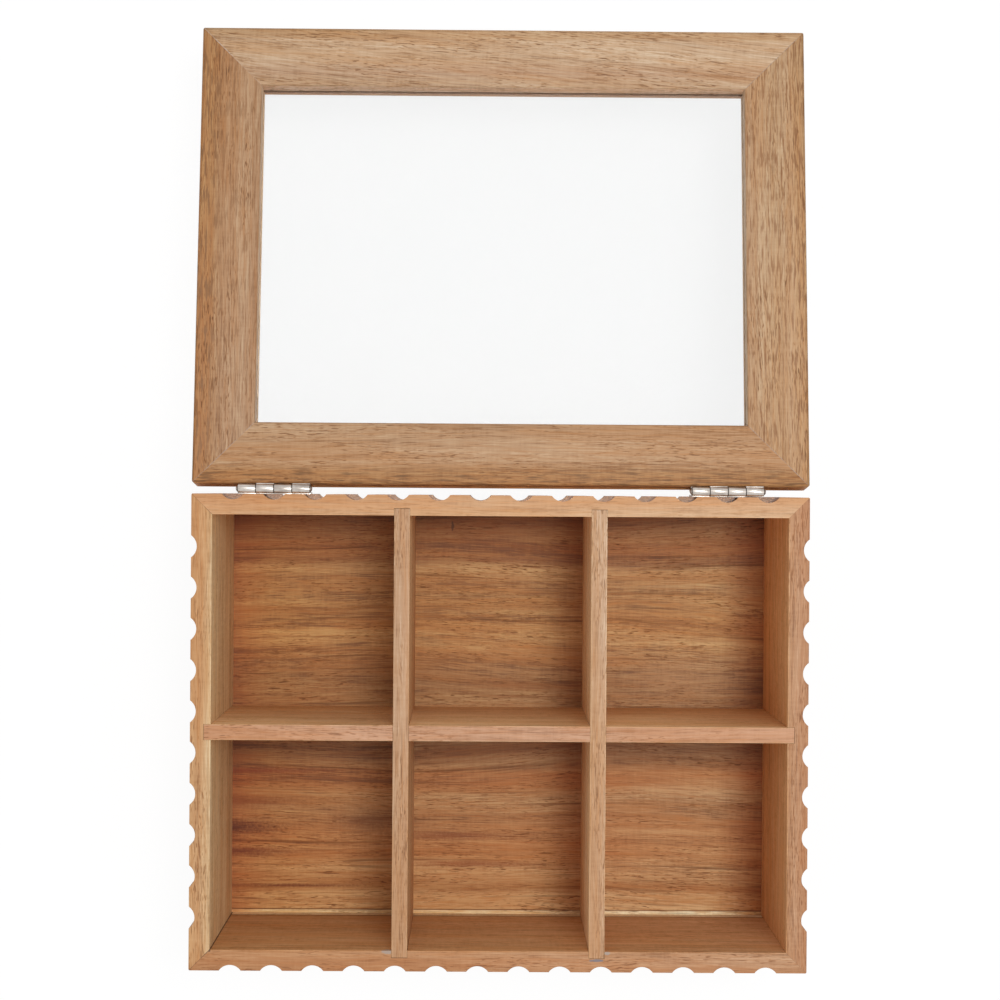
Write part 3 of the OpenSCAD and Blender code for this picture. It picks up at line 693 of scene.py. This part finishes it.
def flute_tree():
    """Geometry Nodes: a board in, the same board with its flutes cut out."""
    tree = bpy.data.node_groups.new("flute_cutter", "GeometryNodeTree")
    tree.interface.new_socket("Board", in_out="INPUT", socket_type="NodeSocketGeometry")
    for name, kind in {"Flutes": "NodeSocketInt", "Pitch": "NodeSocketFloat",
                       "Bit Radius": "NodeSocketFloat", "Depth": "NodeSocketFloat",
                       "Height": "NodeSocketFloat", "Wood": "NodeSocketMaterial"}.items():
        tree.interface.new_socket(name, in_out="INPUT", socket_type=kind)
    tree.interface.new_socket("Fluted", in_out="OUTPUT", socket_type="NodeSocketGeometry")
    given = step(tree, "NodeGroupInput").outputs
    gaps = maths(tree, "SUBTRACT", given["Flutes"], 1.0)
    first = maths(tree, "MULTIPLY", maths(tree, "MULTIPLY", gaps, given["Pitch"]), -0.5)
    sunk = maths(tree, "SUBTRACT", given["Depth"], given["Bit Radius"])
    middle = maths(tree, "MULTIPLY", given["Height"], 0.5)
    start = step(tree, "ShaderNodeCombineXYZ", {0: first, 1: sunk, 2: middle}).outputs[0]
    pace = step(tree, "ShaderNodeCombineXYZ", {0: given["Pitch"]}).outputs[0]
    line = step(tree, "GeometryNodeMeshLine", {
        "Count": given["Flutes"], "Start Location": start, "Offset": pace,
    }).outputs[0]
    bit = step(tree, "GeometryNodeMeshCylinder", {
        "Vertices": BIT_SIDES, "Radius": given["Bit Radius"],
        "Depth": maths(tree, "MULTIPLY", given["Height"], PAST_BOARD),
    }).outputs[0]
    bits = step(tree, "GeometryNodeInstanceOnPoints", {"Points": line, "Instance": bit}).outputs[0]
    solid_bits = step(tree, "GeometryNodeRealizeInstances", {0: bits}).outputs[0]
    routed = step(tree, "GeometryNodeMeshBoolean", {"Mesh 1": given["Board"], "Mesh 2": solid_bits},
                  operation="DIFFERENCE", solver="MANIFOLD").outputs[0]
    whole = step(tree, "GeometryNodeRealizeInstances", {0: routed}).outputs[0]
    stained = step(tree, "GeometryNodeSetMaterial", {"Geometry": whole, "Material": given["Wood"]})
    step(tree, "NodeGroupOutput", {0: stained.outputs[0]})
    return tree


FLUTE_CUTTER = flute_tree()
print("flute cutter:", len(FLUTE_CUTTER.nodes), "nodes")


def run_nodes(piece, tree, **inputs):
    """Sets the tree's named inputs on piece, and makes the result piece's own plain mesh."""
    modifier = piece.modifiers.new(tree.name, "NODES")
    modifier.node_group = tree
    for item in tree.interface.items_tree:
        if item.in_out == "INPUT" and item.name in inputs:
            modifier[item.identifier] = inputs[item.name]
    apply_modifiers(piece)


# %% [markdown]
# The plain board has half of the box's corner at each mitred end, a housing for
# each divider that ends in it, and a rabbet for the floor. The CAD leaves the
# corner sharp, and sandpaper rounds it by about half a millimetre. The housing is
# a little shallower than the CAD's, so that only a fine line shows at a divider's
# end.

# %% Cut the boards and flute them
WALL_T, FLOOR_T, SEAT, HOUSING_W, HOUSING_DEEP = WALL * MM, 4 * MM, 4.1 * MM, 6.2 * MM, 2.75 * MM
PITCH, BIT_R, FLUTE_DEEP, MARGIN = 16 * MM, 5.2 * MM, 2.2 * MM, 14 * MM
CORNER_R, CUT_PAST = 0.6 * MM, 10 * MM
NEAR_SIDE, NEAR_FOOT = 0.6 * HOUSING_W, 1.1 * HOUSING_DEEP  # how far a housing's own edges reach


def prism(outline, low, high):
    """A closed upright solid on an outline that runs anticlockwise."""
    shape = bmesh.new()
    base = [shape.verts.new((x, y, low)) for x, y in outline]
    face = shape.faces.new(base)
    raised = bmesh.ops.extrude_face_region(shape, geom=[face])["geom"]
    for vert in raised:
        if isinstance(vert, bmesh.types.BMVert):
            vert.co.z = high
    bmesh.ops.recalc_face_normals(shape, faces=shape.faces)
    return shape


def plain_board(name, length, housings):
    """A mitred board along x, its outer face at y = 0 and its inner face at y = WALL_T."""
    half = length / 2
    corner = [(half - CORNER_R + CORNER_R * math.sin(math.radians(turn)),
               CORNER_R - CORNER_R * math.cos(math.radians(turn))) for turn in (0, 15, 30, 45)]
    outline = [(-x, y) for x, y in reversed(corner)] + corner + [(half - WALL_T, WALL_T)]
    for x in sorted(housings, reverse=True):
        right, left = x + HOUSING_W / 2, x - HOUSING_W / 2
        outline += [(right, WALL_T), (right, WALL_T - HOUSING_DEEP),
                    (left, WALL_T - HOUSING_DEEP), (left, WALL_T)]
    outline.append((WALL_T - half, WALL_T))
    board = bpy.data.objects.new(name, bpy.data.meshes.new(name))
    bpy.context.scene.collection.objects.link(board)
    shape = prism(outline, 0, wall_h)
    shape.to_mesh(board.data)
    shape.free()
    rabbet_mesh = bpy.data.meshes.new("rabbet")
    reach = half + CUT_PAST
    rabbet = prism([(-reach, WALL_T - SEAT), (reach, WALL_T - SEAT), (reach, WALL_T + CUT_PAST),
                    (-reach, WALL_T + CUT_PAST)], -CUT_PAST, FLOOR_T)
    rabbet.to_mesh(rabbet_mesh)
    rabbet.free()
    plough = bpy.data.objects.new("rabbet", rabbet_mesh)
    bpy.context.scene.collection.objects.link(plough)
    cut = board.modifiers.new("rabbet", "BOOLEAN")
    cut.object = plough
    cut.solver = "MANIFOLD"
    apply_modifiers(board)
    bpy.data.objects.remove(plough)
    return board


def slice_board(piece, places):
    """Splits the faces at each x, so that no face winds round more than one flute."""
    shape = bmesh.new()
    shape.from_mesh(piece.data)
    for x in places:
        geometry = shape.verts[:] + shape.edges[:] + shape.faces[:]
        bmesh.ops.bisect_plane(shape, geom=geometry, plane_co=(x, 0, 0), plane_no=(1, 0, 0))
    shape.to_mesh(piece.data)
    shape.free()


def fluted_wall(node, length, housings, place):
    """Builds, flutes, eases and hands over one wall; place carries it from the bench to the box."""
    wall = plain_board(node + "_fluted", length, housings)
    flutes = int((length - 2 * MARGIN) / PITCH) + 1
    run_nodes(wall, FLUTE_CUTTER, **{
        "Flutes": flutes, "Pitch": PITCH, "Bit Radius": BIT_R, "Depth": FLUTE_DEEP,
        "Height": wall_h, "Wood": wood[node],
    })
    slice_board(wall, [(land - flutes / 2) * PITCH for land in range(flutes + 1)])

    def in_joint(edge):
        """True for an edge in one of the wall's mitres or in a housing."""
        in_mitre = all(abs(length / 2 - abs(vert.co.x) - vert.co.y) < CORNER_R for vert in edge.verts)
        return in_mitre or all(
            any(abs(vert.co.x - x) < NEAR_SIDE for x in housings)
            and vert.co.y > WALL_T - NEAR_FOOT for vert in edge.verts)

    ease(wall, 0.35 * MM, joint=in_joint, short=0.05 * MM)
    wall.data.transform(place)
    hand_over(wall, "box", node, wood[node])
    return flutes


divider_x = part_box("divider_right")[0].x + DIVIDER_T / 2 * MM
box_w, box_d = 2 * half_w, 2 * half_d
quarter = math.radians(90)
flute_counts = [
    fluted_wall("front_wall", box_w, [-divider_x, divider_x], Matrix.Translation((0, -half_d, 0))),
    fluted_wall("back_wall", box_w, [-divider_x, divider_x],
                Matrix.Translation((0, half_d, 0)) @ Matrix.Rotation(2 * quarter, 4, "Z")),
    fluted_wall("left_wall", box_d, [0],
                Matrix.Translation((-half_w, 0, 0)) @ Matrix.Rotation(-quarter, 4, "Z")),
    fluted_wall("right_wall", box_d, [0],
                Matrix.Translation((half_w, 0, 0)) @ Matrix.Rotation(quarter, 4, "Z")),
]
print("flutes on the front, back, left and right walls:", flute_counts)

# %% [markdown]
# ## Dividers and floor
# The dividers are plain planed boards, halved over each other. Their shape is
# right in the CAD, so a copy only gets its edges eased, and those that meet
# another board stay almost sharp. The floor panel's edges are out of sight in
# the rabbet, so the CAD node itself gets the wood.


# %% Ease the dividers and finish the floor
NEAR_WALL, NEAR_HALVING = 0.2 * MM, 3.3 * MM


def divider_meets(edge):
    """True for an edge near a housing or near the halving joints."""
    for vert in edge.verts:
        x, y = abs(vert.co.x), abs(vert.co.y)
        in_wall = x > half_w - WALL_T - NEAR_WALL or y > half_d - WALL_T - NEAR_WALL
        at_halving = y < NEAR_HALVING and abs(x - divider_x) < NEAR_HALVING
        if not in_wall and not at_halving:
            return False
    return True


for node in ("divider_left", "divider_right", "divider_cross"):
    divider = merged_copy(node)
    ease(divider, 0.3 * MM, joint=divider_meets)
    hand_over(divider, "box", node, wood[node])
nodes["floor_panel"].data.materials[0] = wood["floor_panel"]

# %% [markdown]
# ## The lid's frame
# Four members, mitred at the corners and grooved for the glass. The CAD already
# rounds the outer edges, so only the sharp ones are eased, and those in the
# mitres are left almost sharp: sanded flush, a mitre is just a line.


# %% Ease the lid's members
ON_PLANE = 0.02 * MM


def in_lid_mitre(edge):
    """True for an edge in one of the four mitre planes of the lid."""
    for vert in edge.verts:
        away = (vert.co - hinge_edge).dot(AWAY)
        side = half_w - abs(vert.co.x)
        if min(abs(side - away), abs(side - (LID_D * MM - away))) > ON_PLANE:
            return False
    return True


for node in ("lid_front_rail", "lid_hinge_rail", "lid_left_stile", "lid_right_stile"):
    member = merged_copy(node)
    ease(member, 0.3 * MM, joint=in_lid_mitre, joint_share=0.25, short=1.5 * MM)
    hand_over(member, "lid", node, wood[node])

# %% [markdown]
# ## The glass
# Clear float glass, 2 mm thick. It bends light a little, and its thickness
# tints it faintly. Lamps reach what lies behind it through a Transparent
# shader for shadow rays, because a path tracer would otherwise shade it.

# %% Finish the glass
clear = bpy.data.materials.new("float_glass")
clear.use_nodes = True
pane = clear.node_tree
pane.nodes.clear()
smears = step(pane, "ShaderNodeTexNoise", {
    "Vector": step(pane, "ShaderNodeTexCoord").outputs["Object"], "Scale": 9.0,
}).outputs[0]
tint = blend(pane, smears, (0.893, 0.898, 0.898, 1), (0.903, 0.908, 0.908, 1))
solid_glass = step(pane, "ShaderNodeBsdfPrincipled", {
    "Base Color": tint, "Roughness": 0.0, "IOR": 1.45, "Transmission Weight": 1.0,
}).outputs[0]
lamp_ray = step(pane, "ShaderNodeLightPath").outputs["Is Shadow Ray"]
through_glass = step(pane, "ShaderNodeBsdfTransparent", {"Color": (0.9, 0.91, 0.91, 1)}).outputs[0]
glass_surface = step(pane, "ShaderNodeMixShader", {0: lamp_ray, 1: solid_glass, 2: through_glass})
step(pane, "ShaderNodeOutputMaterial", {"Surface": glass_surface.outputs[0]})
nodes["glass_pane"].data.materials[0] = clear
print("glass pane:", len(nodes["glass_pane"].data.polygons), "faces")

# %% [markdown]
# ## The hinges
# Two small butt hinges of nickel-plated steel. The plating is bright but not a
# perfect mirror: fine rolling marks along the barrel and a few faint smudges
# make its roughness uneven. The same marks and smudges streak its colour along
# the barrel: the smudges' own dull tone, and painted reflection of darker
# surroundings. The joints between the knuckles, which come every 7 mm along the
# barrel, are painted dark: painted shade in the gaps.

# %% Plate the hinges
nickel = bpy.data.materials.new("nickel_plate")
nickel.use_nodes = True
plate = nickel.node_tree
plate.nodes.clear()
metal_place = step(plate, "ShaderNodeTexCoord").outputs["Object"]
rolling = stretched_noise(plate, metal_place, (150.0, 3500.0, 3500.0))
smudge = stretched_noise(plate, metal_place, (260.0, 260.0, 260.0))
uneven = maths(plate, "MULTIPLY_ADD", rolling, 0.12, maths(plate, "MULTIPLY_ADD", smudge, 0.14, 0.2))
# Colour bands from the rolling marks are painted reflection; those from the smudges are their own dull tone.
smudges_and_reflection_bands = maths(plate, "ADD", maths(plate, "MULTIPLY", rolling, 0.5), maths(plate, "MULTIPLY", smudge, 0.5))
coat = blend(plate, remap(plate, smudges_and_reflection_bands, 0.35, 0.65), (0.38, 0.33, 0.29, 1), (0.62, 0.57, 0.52, 1))
KNUCKLE, BARREL_END, BARREL_SKIN = 7 * MM, 74 * MM, 1.8 * MM
east_west = step(plate, "ShaderNodeSeparateXYZ", {0: metal_place}).outputs[0]
from_end = maths(plate, "SUBTRACT", maths(plate, "ABSOLUTE", east_west), BARREL_END)
from_joint = maths(plate, "PINGPONG", from_end, KNUCKLE / 2)
from_pin = vector_maths(plate, "MULTIPLY", vector_maths(plate, "SUBTRACT", metal_place, pin), (0, 1, 1))
on_barrel = remap(plate, vector_maths(plate, "LENGTH", from_pin), 2.0 * MM, BARREL_SKIN)
# Painted shade: a dark band over each joint between the knuckles.
joint_shade = maths(plate, "MULTIPLY", remap(plate, from_joint, 0.30 * MM, 0.12 * MM, 0.0, 0.8), on_barrel)
coat = blend(plate, joint_shade, coat, (0.06, 0.045, 0.035, 1))
marks = step(plate, "ShaderNodeBump", {"Strength": 0.15, "Distance": 0.00005, "Height": rolling})
metal = step(plate, "ShaderNodeBsdfPrincipled", {
    "Base Color": coat, "Metallic": 1.0, "Roughness": uneven, "Normal": marks.outputs[0],
})
step(plate, "ShaderNodeOutputMaterial", {"Surface": metal.outputs[0]})
print("nickel plate:", len(plate.nodes), "nodes")

# %% [markdown]
# The leaves have their knuckles rolled from the same strip, and the knuckles'
# ends are rounded a little, so that a dark line shows between them.

# %% Round the leaves and plate the rest
BODY_OF = {"hinge_box_leaf": "box", "hinge_lid_leaf": "lid"}
for start, body in BODY_OF.items():
    for side in ("left", "right"):
        node = start + "_" + side
        leaf = merged_copy(node)
        ease(leaf, 0.1 * MM, least=40)
        hand_over(leaf, body, node, nickel)
for node in sorted(nodes):
    if "pin" in node or "screws" in node:
        nodes[node].data.materials[0] = nickel
